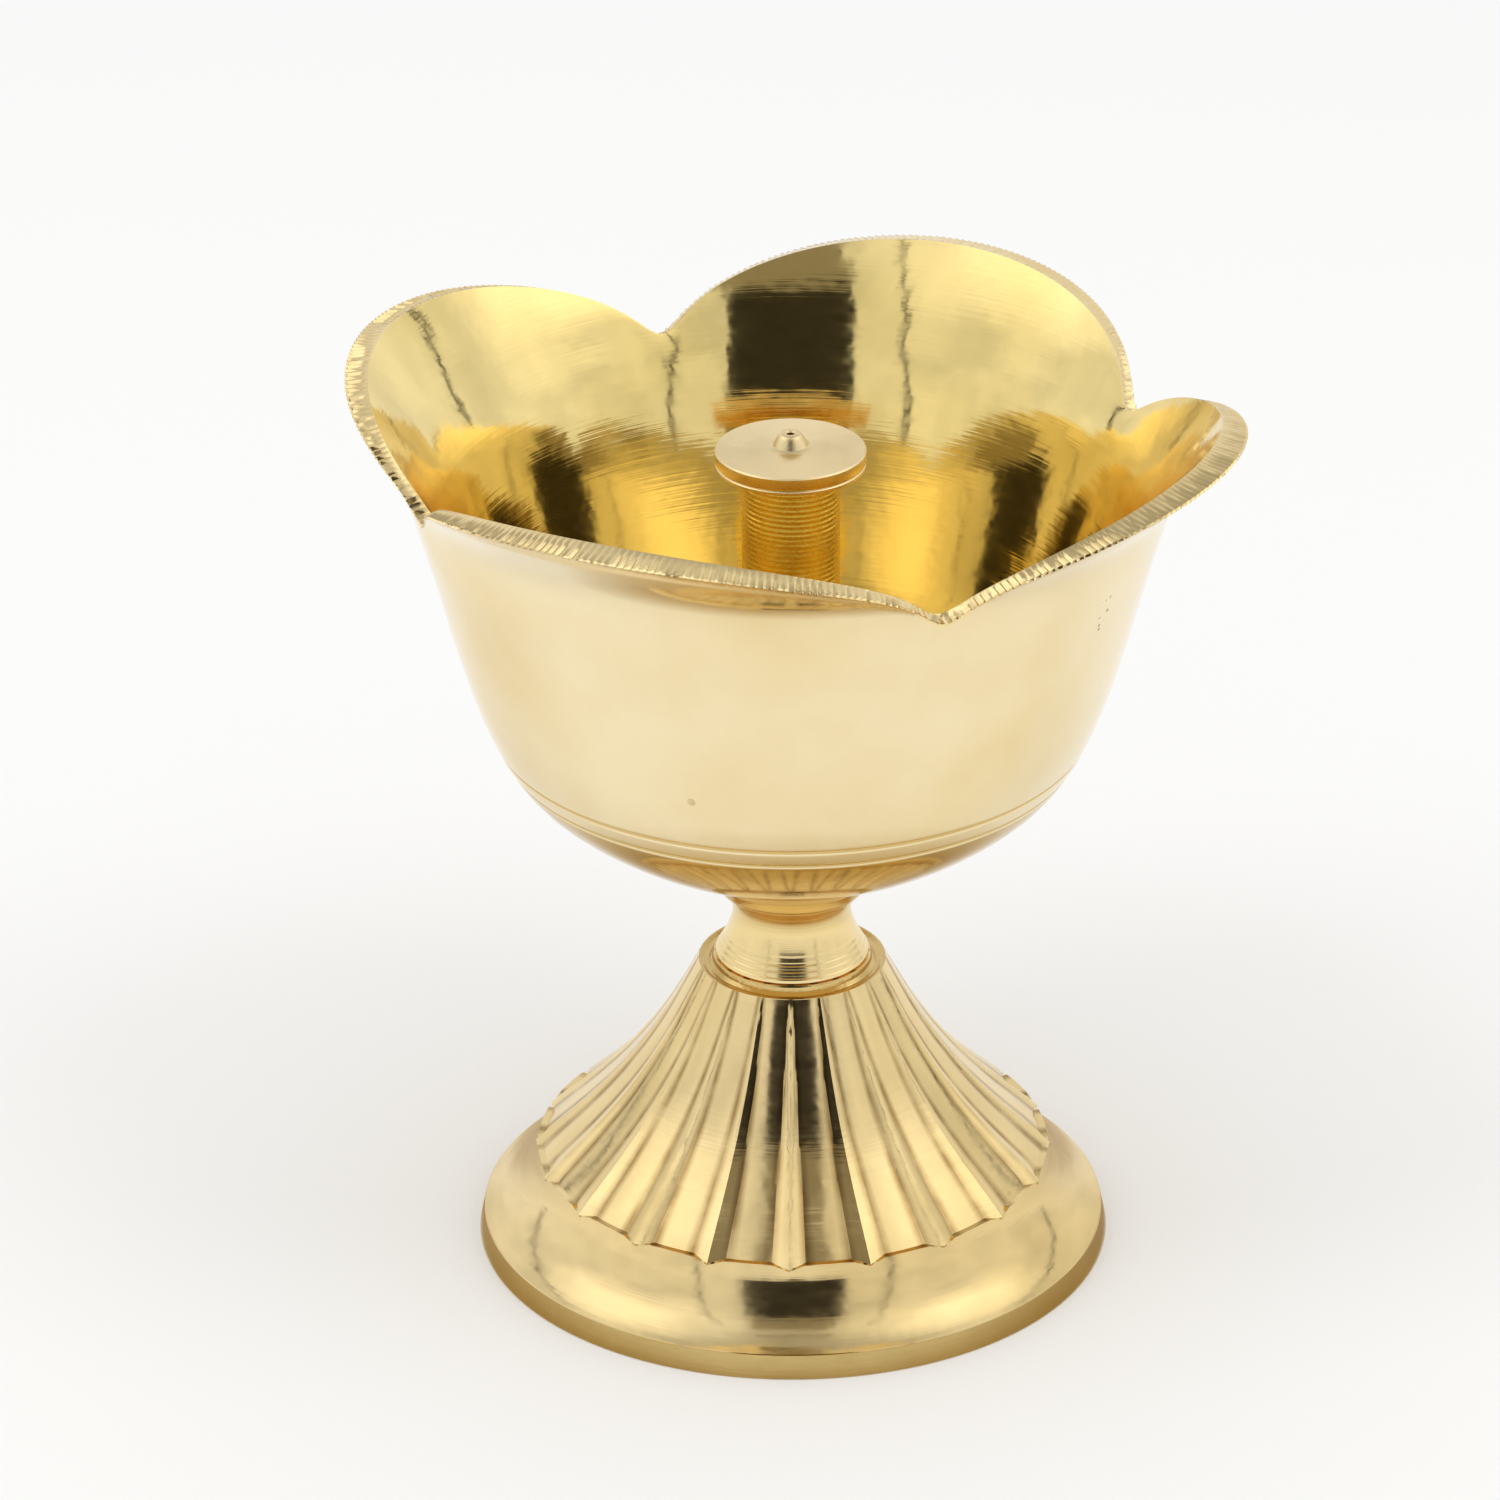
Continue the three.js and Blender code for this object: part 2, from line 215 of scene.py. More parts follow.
class Nodes:
    """A material's node tree, with short calls for adding and joining nodes."""

    def __init__(self, name):
        self.material = bpy.data.materials.new(name)
        self.material.use_nodes = True
        self.tree = self.material.node_tree
        self.shader = self.tree.nodes["Principled BSDF"]
        self.place = self.add("ShaderNodeTexCoord").outputs["Object"]

    def add(self, kind, **settings):
        node = self.tree.nodes.new(kind)
        for key, value in settings.items():
            setattr(node, key, value)
        return node

    def join(self, source, target):
        self.tree.links.new(source, target)

    def feed(self, socket, value):
        if isinstance(value, (int, float)):
            socket.default_value = value
        else:
            self.join(value, socket)

    def noise(self, scale, detail=3.0, roughness=0.5, place=None):
        node = self.add("ShaderNodeTexNoise")
        node.inputs["Scale"].default_value = scale
        node.inputs["Detail"].default_value = detail
        node.inputs["Roughness"].default_value = roughness
        self.join(place or self.place, node.inputs["Vector"])
        return node.outputs["Fac"]

    def cells(self, scale):
        """The distance from the nearest of many scattered points."""
        node = self.add("ShaderNodeTexVoronoi")
        node.inputs["Scale"].default_value = scale
        self.join(self.place, node.inputs["Vector"])
        return node.outputs["Distance"]

    def distance(self, place, point):
        node = self.add("ShaderNodeVectorMath", operation="DISTANCE")
        self.join(place, node.inputs[0])
        node.inputs[1].default_value = point
        return node.outputs["Value"]

    def xyz(self):
        """The X, Y and Z of the object coordinates, as three sockets."""
        node = self.add("ShaderNodeSeparateXYZ")
        self.join(self.place, node.inputs[0])
        return node.outputs

    def stretched(self, scale):
        """Object coordinates scaled by axis, for streaks."""
        node = self.add("ShaderNodeMapping")
        node.inputs["Scale"].default_value = scale
        self.join(self.place, node.inputs["Vector"])
        return node.outputs["Vector"]

    def math(self, operation, a, b=0.0):
        node = self.add("ShaderNodeMath", operation=operation)
        self.feed(node.inputs[0], a)
        self.feed(node.inputs[1], b)
        return node.outputs[0]

    def ramp(self, value, low, high, to_low, to_high):
        node = self.add("ShaderNodeMapRange")
        self.join(value, node.inputs["Value"])
        node.inputs["From Min"].default_value = low
        node.inputs["From Max"].default_value = high
        node.inputs["To Min"].default_value = to_low
        node.inputs["To Max"].default_value = to_high
        return node.outputs["Result"]

    def mixed(self, share, colour_a, colour_b):
        """Colour a where share is 0 and colour b where it is 1. Each is three numbers or a socket."""
        node = self.add("ShaderNodeMix", data_type="RGBA")
        self.feed(node.inputs[0], share)
        for socket, colour in ((node.inputs[6], colour_a), (node.inputs[7], colour_b)):
            if isinstance(colour, tuple):
                socket.default_value = (*colour, 1)
            else:
                self.join(colour, socket)
        return node.outputs[2]

    def bump(self, height, distance, before=None, strength=1.0):
        node = self.add("ShaderNodeBump")
        node.inputs["Strength"].default_value = strength
        node.inputs["Distance"].default_value = distance
        self.join(height, node.inputs["Height"])
        if before is not None:
            self.join(before, node.inputs["Normal"])
        return node.outputs["Normal"]


def brass(
    name, light, dark, gloss, lines=None, grain=0.0, pits=0.0, wave=0.6, brushed=0.0, valleys=False
):
    """Bare brass.

    light and dark are its tones, and gloss its roughness (low, high).
    lines is the (pitch, height) of turning lines round Z, in metres.
    grain is the height of a cast or tooled grain, and pits the depth of casting pits.
    wave is the strength of the hand-polished unevenness.
    brushed is how much the gloss is drawn out across turning marks.
    valleys darkens the lines beside the foot's keels, partly as tarnish and partly as painted shade and
    a painted reflection of the neighbouring keel.
    """
    nodes = Nodes(name)
    nodes.shader.inputs["Metallic"].default_value = 1.0
    cloud = nodes.noise(90, 4)
    tone = nodes.ramp(cloud, 0.35, 0.7, 0.0, 1.0)
    colour = nodes.mixed(tone, light, dark)
    if valleys:
        # Darker lines beside the keels: partly tarnish, partly painted shade and a painted reflection
        # of the neighbouring keel
        colour = nodes.mixed(valley_tarnish_and_shade(nodes), colour, TARNISH_AND_SHADE)
    if pits:
        colour = nodes.mixed(pit_field(nodes), TARNISH_AND_SHADE, colour)
    nodes.join(colour, nodes.shader.inputs["Base Color"])
    rub = nodes.noise(700, 4, 0.6, nodes.stretched((1, 1, 3)))
    nodes.join(nodes.ramp(rub, 0.3, 0.7, *gloss), nodes.shader.inputs["Roughness"])
    normal = nodes.bump(nodes.noise(230, 3), WAVE_HEIGHT, strength=wave)
    if lines:
        pitch, height = lines
        across = nodes.noise(1.0 / pitch, 2, 0.6, nodes.stretched((0.012, 0.012, 1)))
        normal = nodes.bump(across, height, normal)
    if grain:
        normal = nodes.bump(nodes.noise(2600, 4, 0.6), grain, normal)
    if pits:
        normal = nodes.bump(pit_field(nodes), pits, normal)
    if brushed:
        nodes.shader.inputs["Anisotropic"].default_value = brushed
        radial = nodes.add("ShaderNodeTangent", direction_type="RADIAL", axis="Z")
        nodes.join(radial.outputs["Tangent"], nodes.shader.inputs["Tangent"])
    nodes.join(normal, nodes.shader.inputs["Normal"])
    return nodes.material


def pit_field(nodes):
    """Sparse casting pits, with one thick cluster of finer ones, as a height from 0 to 1."""
    lone_pits = nodes.ramp(nodes.cells(260), 0.03, 0.09, 0.0, 1.0)
    bare = nodes.ramp(nodes.noise(60, 2), 0.62, 0.66, 1.0, 0.0)
    fine_pits = nodes.ramp(nodes.cells(2600), 0.15, 0.32, 0.0, 1.0)
    centre = [place * scale for place, scale in zip(PIT_CLUSTER, CLUSTER_SQUASH)]
    reach = nodes.distance(nodes.stretched(CLUSTER_SQUASH), centre)
    away = nodes.ramp(reach, 0.0005, 0.0007, 0.0, 1.0)
    sparse = nodes.math("MAXIMUM", lone_pits, bare)
    clustered = nodes.math("MAXIMUM", fine_pits, away)
    return nodes.math("MULTIPLY", sparse, clustered)


def valley_tarnish_and_shade(nodes):
    """1 on the two lines beside each keel of the foot, and 0 elsewhere: partly polish and dust that
    stay there, partly painted shade and a painted reflection of the neighbouring keel.
    """
    across, depth, height = nodes.xyz()
    turn = nodes.math("ARCTAN2", depth, across)
    flutes = nodes.math("MULTIPLY", nodes.math("SUBTRACT", turn, FRONT_KEEL), FLUTES / (2 * math.pi))
    aside = nodes.math("PINGPONG", flutes, 0.5)
    down = nodes.ramp(height, FLUTE_LOW * MM, FLUTE_TOP * MM, 1.0, 0.0)
    spread = nodes.math("POWER", down, KEEL_SPREAD)
    keel_foot = nodes.ramp(spread, 0.0, 1.0, KEEL_SHARE_TOP, KEEL_SHARE_LOW)
    outside = nodes.math("SUBTRACT", aside, keel_foot)
    off = nodes.math("ABSOLUTE", nodes.math("SUBTRACT", outside, VALLEY_OFFSET))
    line = nodes.ramp(off, 0.0, VALLEY_SHARE, 1.0, 0.0)
    patchy = nodes.ramp(nodes.noise(420, 3), 0.3, 0.6, 0.35, 0.9)
    on_flutes = nodes.math("GREATER_THAN", height, VALLEY_LOW * MM)
    return nodes.math("MULTIPLY", nodes.math("MULTIPLY", line, patchy), on_flutes)


POLISHED = brass("brass_polished", light=PALE, dark=WARM, gloss=(0.07, 0.13), pits=0.00005)
# Painted shade: darker tones for the bowl's downward-facing underside; the same tones on the turned
# grooves stand for oxide
UNDERSIDE_SHADE_AND_OXIDE = brass(
    "brass_underside_shade_and_oxide",
    light=(0.68, 0.49, 0.20),
    dark=(0.62, 0.43, 0.16),
    gloss=(0.08, 0.15),
    lines=(0.0002, 0.000003),
)
BOWL_INSIDE = brass(
    "brass_bowl_inside",
    light=GOLD,
    dark=DEEP,
    gloss=(0.06, 0.12),
    lines=(0.0002, 0.000005),
    wave=1.3,
)
RIM_LAND = brass(
    "brass_rim",
    light=(0.91, 0.72, 0.38),
    dark=(0.86, 0.66, 0.31),
    gloss=(0.14, 0.24),
    grain=0.00001,
)
FOOT_SKIN = brass(
    "brass_foot",
    light=(0.86, 0.67, 0.34),
    dark=(0.79, 0.59, 0.26),
    gloss=(0.09, 0.18),
    lines=(0.00025, 0.000007),
    pits=0.00003,
    wave=1.3,
    valleys=True,
)
# Painted reflection: dark tones on the foot's edge band stand in for the shaded floor it mirrors next
# to the foot
SHADED_EDGE_SKIN = brass(
    "brass_foot_edge_shaded",
    light=(0.64, 0.48, 0.20),
    dark=(0.54, 0.39, 0.15),
    gloss=(0.16, 0.28),
    lines=(0.0003, 0.000005),
)
# Painted shade: the hollow ring under the neck gets dark tones that stand in for the dark reflections
# in it
SHADED_RING_SKIN = brass(
    "brass_ring_shaded",
    light=(0.74, 0.54, 0.22),
    dark=(0.52, 0.35, 0.12),
    gloss=(0.12, 0.24),
    grain=0.00002,
)
AS_CAST = brass(
    "brass_as_cast",
    light=(0.62, 0.47, 0.22),
    dark=(0.47, 0.34, 0.15),
    gloss=(0.38, 0.55),
    grain=0.00006,
)
NECK_SKIN = brass(
    "brass_neck",
    light=(0.90, 0.71, 0.36),
    dark=(0.86, 0.66, 0.30),
    gloss=(0.14, 0.24),
    lines=(0.00012, 0.000006),
)
POST_SKIN = brass(
    "brass_post",
    light=(0.94, 0.75, 0.23),
    dark=(0.84, 0.64, 0.16),
    gloss=(0.2, 0.34),
    lines=(0.0002, 0.00002),
    grain=0.00003,
)
DISC_SKIN = brass(
    "brass_disc",
    light=(0.93, 0.75, 0.43),
    dark=(0.91, 0.71, 0.38),
    gloss=(0.24, 0.34),
    brushed=0.75,
)
HARDWARE = brass(
    "brass_hardware",
    light=(0.78, 0.62, 0.32),
    dark=(0.66, 0.50, 0.24),
    gloss=(0.25, 0.4),
    grain=0.00002,
)


# ---- bowl ----------------------------------------------------------------------------------------

PETAL_START = BOWL_BASE + 22.0
NOTCH_HEIGHT = PETAL_START + 2.2
INNER_NOTCH = NOTCH_HEIGHT + 0.15
PETAL_ROUNDNESS = 0.67
NOTCH_ROUNDING = 0.018
RIDGES_PER_PETAL = 98
RIDGE_SHAPE = (1.0, 0.35, 0.0)  # how deep each column of one ridge lies
RIDGE_DEPTH = 0.11
EDGE_HEIGHT = 0.26  # the rim's own thickness under the land
EDGE_ROWS = (  # how far in and down each row of the edge lies, and how far a ridge's depth moves it
    (0.01, 0.12, 0.6, 0.0),
    (0.06, 0.02, 1.1, 0.5),
)
LAND_ROWS = ((0.12, 1.0), (0.5, 0.85), (0.88, 0.5))  # share of the land's width, and of a ridge's depth
RIM_INSET = 0.006  # keeps the smooth rim inside the CAD's faceted one

bowl_outside = [
    (5.4, BOWL_BASE),
    (6.4, 24.15),
    (9.0, 25.35),
    (12.0, 27.1),
    (14.5, 29.05),
    (16.1, 31.0),
    (17.5, 34.0),
    (18.75, 38.0),
    (19.8, 42.0),
    (20.7, PETAL_START),
]
petal_outside = [
    (20.7, PETAL_START),
    (21.3, NOTCH_HEIGHT),
    (21.9, 48.6),
    (22.85, 49.75),
    (24.05, 50.9),
    (TIP_RADIUS, TIP_HEIGHT),
]
petal_inside = [
    (19.08, PETAL_START),
    (19.68, 46.4),
    (20.4, INNER_NOTCH),
    (21.15, 48.8),
    (21.98, 50.0),
    (22.87, 51.2),
    (TIP_RADIUS - LAND_AT_TIP, INNER_TIP),
]
bowl_inside = [
    (4.5, FLOOR),
    (7.0, 26.2),
    (9.4, 26.95),
    (11.1, 27.95),
    (12.35, 29.3),
    (13.4, 30.8),
    (14.3, 32.3),
    (15.1, 34.0),
    (16.5, 38.0),
    (17.86, 42.0),
    (19.08, PETAL_START),
]
GROOVES = ((32.25, 0.10), (31.15, 0.08))  # height and depth of the turned lines
GROOVE_WIDTH = 0.11
GROOVE_SPAN = 0.3  # how far each side of a groove has close rows
UNDERSIDE_TOP = GROOVES[-1][0] - 0.6
WALL_STEP = 0.9  # between the rows of the plain walls


def petal_rise(across):
    """The rim's height, from 0 in a notch to 1 at a tip, at a share of the way across a petal."""
    squared = np.sin(math.pi * across) ** 2
    softened = (squared + NOTCH_ROUNDING) / (1 + NOTCH_ROUNDING)
    return squared * softened ** (PETAL_ROUNDNESS / 2 - 1)


def rim_columns():
    """Azimuth, rise, tip lift and tip spread of each column of the bowl, even along the rim."""
    outer = smooth(petal_outside, 400)
    columns = []
    for petal, (start, lift, spread) in enumerate(PETALS):
        end = PETALS[petal + 1][0] if petal + 1 < len(PETALS) else PETALS[0][0] + 360
        across = np.linspace(0, 1, 4000)
        height = NOTCH_HEIGHT + (TIP_HEIGHT - NOTCH_HEIGHT) * petal_rise(across)
        radius = np.interp(height, outer[:, 1], outer[:, 0])
        azimuth = np.radians(start + (end - start) * across)
        edge = around(azimuth, radius, height)
        count = RIDGES_PER_PETAL * len(RIDGE_SHAPE)
        wanted = np.linspace(0, lengths(edge)[-1], count, endpoint=False)
        share = np.interp(wanted, lengths(edge), across)
        same = np.ones(count)
        turn = np.radians(start + (end - start) * share)
        columns.append([turn, petal_rise(share), lift * same, spread * same])
    return np.concatenate(columns, axis=1)


def grooved_wall():
    """The bowl's outside from its base to the petals, with close rows over the turned grooves."""
    wall = smooth(bowl_outside, 600)
    along = lengths(wall)
    marks = [np.arange(0, along[-1], WALL_STEP), [along[-1]]]
    centres = [np.interp(height, wall[:, 1], along) for height, _ in GROOVES]
    for centre in centres:
        marks.append(np.linspace(centre - GROOVE_SPAN, centre + GROOVE_SPAN, 11))
    wanted = np.unique(np.concatenate(marks))
    rows = at_lengths(wall, wanted)
    sides = normals_2d(rows)
    for centre, (_, depth) in zip(centres, GROOVES):
        rows = rows - sides * (depth * np.exp(-(((wanted - centre) / GROOVE_WIDTH) ** 2)))[:, None]
    return rows


def ridge_pattern(rises):
    """How far each column lies below the land's top: crisp ridges, battered near the notches."""
    width = len(RIDGE_SHAPE)
    cut = np.tile(RIDGE_SHAPE, len(rises) // width)
    uneven = 0.6 + 0.8 * np.repeat(random.random(len(rises) // width), width)
    battered = np.clip((0.45 - rises) / 0.4, 0, 1) * random.random(len(rises)) * 1.2
    return cut * uneven + battered


def lotus_bowl():
    """The bowl: up its outside, over the rim's ridged land, down its inside and into the socket."""
    azimuth, rises, lifts, spreads = rim_columns()
    depth = RIDGE_DEPTH * ridge_pattern(rises)
    outer = smooth(petal_outside, 400)
    inner = smooth(petal_inside, 400)
    skins = [POLISHED, BOWL_INSIDE, RIM_LAND, UNDERSIDE_SHADE_AND_OXIDE]
    outside, inside, land, underside = range(len(skins))
    rows, bands = [], []

    def add(radius, height, band):
        rows.append(around(azimuth, radius, height))
        bands.append(band)

    def on_petal(profile, notch, tip, up, below=0.0):
        """The radius and height of a petal's wall, `up` from 0 where it starts to 1 at the rim."""
        rim = notch + (tip - notch) * rises
        level = PETAL_START + (rim - below - PETAL_START) * up
        radius = np.interp(level, profile[:, 1], profile[:, 0]) + (spreads * rises - RIM_INSET) * up
        return radius, level + lifts * rises * up

    add(SOCKET_RADIUS, BOWL_BASE, underside)
    for radius, height in grooved_wall()[:-1]:
        in_groove = any(abs(height - middle) < GROOVE_WIDTH for middle, _ in GROOVES)
        # The grooves take the darker tones as oxide, and the wall below UNDERSIDE_TOP as painted shade
        add(radius, height, underside if in_groove or height < UNDERSIDE_TOP else outside)
    for up in np.linspace(0, 1, 9):
        add(*on_petal(outer, NOTCH_HEIGHT, TIP_HEIGHT, up, EDGE_HEIGHT), outside if up < 1 else land)
    rim_radius, rim_height = on_petal(outer, NOTCH_HEIGHT, TIP_HEIGHT, 1.0)
    lip_radius, lip_height = on_petal(inner, INNER_NOTCH, INNER_TIP, 1.0)
    for inward, down, cut_inward, cut_down in EDGE_ROWS:
        add(rim_radius - inward - depth * cut_inward, rim_height - down - depth * cut_down, land)
    width = rim_radius - lip_radius
    rise = lip_height - rim_height
    for share, fade in LAND_ROWS:
        add(rim_radius - width * share, rim_height + rise * share - depth * fade, land)
    add(lip_radius + 0.03, lip_height, inside)
    add(lip_radius - 0.01, lip_height - 0.05, inside)
    for up in np.linspace(1, 0, 10)[1:]:
        add(*on_petal(inner, INNER_NOTCH, INNER_TIP, up), inside)
    for radius, height in resampled(smooth(bowl_inside, 400), WALL_STEP)[::-1][1:]:
        add(radius, height, inside)
    add(SOCKET_RADIUS, FLOOR, inside)
    grid = np.stack(rows)
    make_piece("bowl_lotus", STAND, ["bowl"], grid, skins, bands, closed=True, crease=38)


lotus_bowl()


# ---- neck ----------------------------------------------------------------------------------------

NECK_RING_PITCH = 0.36
NECK_RING_DEPTH = 0.022
NECK_RINGS_END = 1.6  # how far up the neck the turned rings run
NECK_RINGS_FADE = 0.5
NECK_STEP = 0.045  # close enough for the rings
SEAM_HEIGHT = 22.1
SEAM_DEPTH = 0.05
SEAM_WIDTH = 0.07
STUD_HOLE = 1.52  # its radius

neck_line = [
    (4.35, NECK_BASE + 0.25),
    (3.75, 18.95),
    (3.42, 19.9),
    (3.36, 20.5),
    (3.55, 21.3),
    (4.3, SEAM_HEIGHT),
    (5.0, 23.0),
]


def waisted_neck():
    """The neck, with turned rings round its lower end and a fine seam line near its top."""
    side = resampled(smooth(neck_line, 300), NECK_STEP)
    along = lengths(side)
    fade = np.clip((NECK_RINGS_END - along) / NECK_RINGS_FADE, 0, 1)
    rings = NECK_RING_DEPTH * (1 - np.cos(2 * math.pi * along / NECK_RING_PITCH)) / 2 * fade
    seam_cut = SEAM_DEPTH * np.exp(-(((side[:, 1] - SEAM_HEIGHT) / SEAM_WIDTH) ** 2))
    side = side - normals_2d(side) * (rings + seam_cut)[:, None]
    profile = np.concatenate(
        [
            [(STUD_HOLE, NECK_BASE), (4.25, NECK_BASE), (4.35, NECK_BASE + 0.08)],
            side,
            [(5.0, BOWL_BASE - 0.02), (4.96, BOWL_BASE), (STUD_HOLE, BOWL_BASE)],
        ]
    )
    grid = turned(profile, 120)
    make_piece("neck_waisted", STAND, ["neck"], grid, [NECK_SKIN], closed=True)


waisted_neck()


# ---- foot ----------------------------------------------------------------------------------------

COLUMNS_PER_FLUTE = 24
TIP_OVERHANG = 0.2  # how far a keel's tip runs down over the cove
KEEL_NICK = 0.025  # the deepest nick in a keel's crest
NICKED_SHARE = 0.03  # how far each side of a crest is nicked, as a share of the pitch
CREST_START = 0.16  # how far above FLUTE_LOW the crest line starts
CROWN_UNDERSIDE = washer_high[2]
CROWN_HOLE = 1.6  # its radius

crest_line = [
    (14.65, FLUTE_LOW + CREST_START),
    (14.0, 6.0),
    (11.86, 8.0),
    (9.97, 10.0),
    (8.4, 12.0),
    (7.1, 14.0),
    (6.0, 16.0),
    (5.35, FLUTE_TOP),
]
cove_line = [
    (FOOT_RADIUS - 0.36, 1.42),
    (17.2, 1.75),
    (16.45, 2.35),
    (15.75, 3.15),
    (15.25, 3.95),
    (14.93, 4.6),
    (14.75, FLUTE_LOW - 0.08),
    (14.62, FLUTE_LOW + 0.3),
]
shoulder_ring = [
    (5.32, 17.25),
    (5.2, 17.24),
    (5.0, 17.14),
    (4.75, 17.12),
    (4.55, 17.3),
    (4.5, 17.55),
]
hollow_line = [
    (5.6, CROWN_UNDERSIDE),
    (7.4, 10.2),
    (10.0, 7.4),
    (13.2, 4.4),
    (15.0, 3.0),
    (17.0, 0.6),
    (17.0, 0.0),
]


def from_crest(azimuth):
    """The distance from the nearest keel's crest, as a share of the flutes' pitch."""
    share = ((azimuth - FRONT_KEEL) * FLUTES / (2 * math.pi)) % 1.0
    return np.minimum(share, 1 - share)


def keel_half_width(height):
    """Half a keel's width at a height, as a share of the flutes' pitch."""
    down = min(1.0, max(0.0, (FLUTE_TOP - height) / (FLUTE_TOP - FLUTE_LOW)))
    return KEEL_SHARE_TOP + (KEEL_SHARE_LOW - KEEL_SHARE_TOP) * down**KEEL_SPREAD


def flute_drop(azimuth, radius, height):
    """How far the surface lies inside the crest line: a roof-shaped keel on each crest, which widens
    downwards, and a plain panel between two keels."""
    reach = np.minimum(from_crest(azimuth), keel_half_width(height))
    return KEEL_SLOPE * reach * 2 * math.pi * radius / FLUTES


def fluted_foot():
    """The foot: down its hollow, round its edge, in over the cove, up the flutes to the crown."""
    columns = FLUTES * COLUMNS_PER_FLUTE
    azimuth = np.linspace(0, 2 * math.pi, columns, endpoint=False) + FRONT_KEEL
    skins = [FOOT_SKIN, AS_CAST, SHADED_RING_SKIN, SHADED_EDGE_SKIN]
    outside, hollow, ring, edge = range(len(skins))
    rows, bands = [], []

    def add(radius, height, band):
        rows.append(around(azimuth, radius, height))
        bands.append(band)

    add(CROWN_HOLE, CROWN_UNDERSIDE, hollow)
    for radius, height in resampled(smooth(hollow_line[:-1], 200), 1.0):
        add(radius, height, hollow)
    add(hollow_line[-1][0], 0.0, outside)
    add(FOOT_RADIUS - 0.1, 0.0, outside)
    add(FOOT_RADIUS - 0.01, 0.08, edge)
    add(FOOT_RADIUS - 0.28, 1.3, edge)
    add(FOOT_RADIUS - 0.3, 1.37, outside)
    add(FOOT_RADIUS - 0.34, 1.38, outside)
    cove = smooth(cove_line, 200)
    tip = np.clip(1 - from_crest(azimuth) / keel_half_width(FLUTE_LOW), 0, 1)
    cove_top = cove_line[-1][1] - 0.1 - (TIP_OVERHANG + CREST_START) * tip
    for radius, height in resampled(cove, 0.25):
        if height < cove_top.min() - 0.05:
            add(radius, height, outside)
    add(np.interp(cove_top, cove[:, 1], cove[:, 0]), cove_top, outside)
    for row, (radius, height) in enumerate(resampled(smooth(crest_line, 400), 0.3)):
        lowered = TIP_OVERHANG * tip if row == 0 else 0.0
        nick = KEEL_NICK * random.random(columns) * (from_crest(azimuth) < NICKED_SHARE)
        reach = radius + lowered - flute_drop(azimuth, radius, height) - nick
        add(reach, height - lowered + 0.02, outside)
    for radius, height in shoulder_ring:
        add(radius, height, ring)
    add(4.45, NECK_BASE, outside)
    add(CROWN_HOLE, NECK_BASE, outside)
    grid = np.stack(rows)
    make_piece("foot_fluted", STAND, ["foot"], grid, skins, bands, closed=True, crease=9)


fluted_foot()


# ---- wick holder ---------------------------------------------------------------------------------

POST_RADIUS = post_high[0]
DISC_RADIUS = disc_high[0]
DISC_BASE = disc_low[2]
DISC_EDGE = DISC_BASE + 1.05
DISC_CENTRE = DISC_EDGE + 0.25
NOZZLE_TOP = disc_high[2]
SPIGOT_RADIUS = 1.95
TENON_RADIUS = 1.3
TENON_TOP = post_high[2]
TOOL_PITCH = 0.3
TOOL_DEPTH = 0.03
WICK_HOLE = 0.24  # its radius
FACE_OUTER, FACE_INNER = 4.0, 1.1  # the turned cone of the disc's top


def tool_marks(azimuth, radius, height):
    """Coarse helical marks of the turning tool on the post, none on its spigot and tenon."""
    turns = height / TOOL_PITCH + azimuth / (2 * math.pi)
    uneven = 0.7 + 0.3 * np.sin(height * 1.7)
    depth = TOOL_DEPTH * (0.5 + 0.5 * np.cos(2 * math.pi * turns)) * uneven
    on_post = (radius > POST_RADIUS - 0.01) & (height > FLOOR + 0.3) & (height < DISC_BASE - 0.2)
    return np.where(on_post, -depth, 0.0)


def wick_post():
    """The post, with its spigot below and the tenon that holds the disc above."""
    side = np.arange(FLOOR + 0.2, DISC_BASE - 0.1, TOOL_PITCH / 5)
    profile = np.array(
        [
            (0, post_low[2]),
            (SPIGOT_RADIUS - 0.15, post_low[2]),
            (SPIGOT_RADIUS, post_low[2] + 0.15),
            (SPIGOT_RADIUS, FLOOR),
            (POST_RADIUS - 0.08, FLOOR),
            (POST_RADIUS, FLOOR + 0.08),
            *((POST_RADIUS, height) for height in side),
            (POST_RADIUS, DISC_BASE),
            (TENON_RADIUS, DISC_BASE),
            (TENON_RADIUS, TENON_TOP),
            (0, TENON_TOP),
        ]
    )
    grid = turned(profile, 96, tool_marks)
    make_piece("wick_post_turned", HOLDER, ["wick_post"], grid, [POST_SKIN])


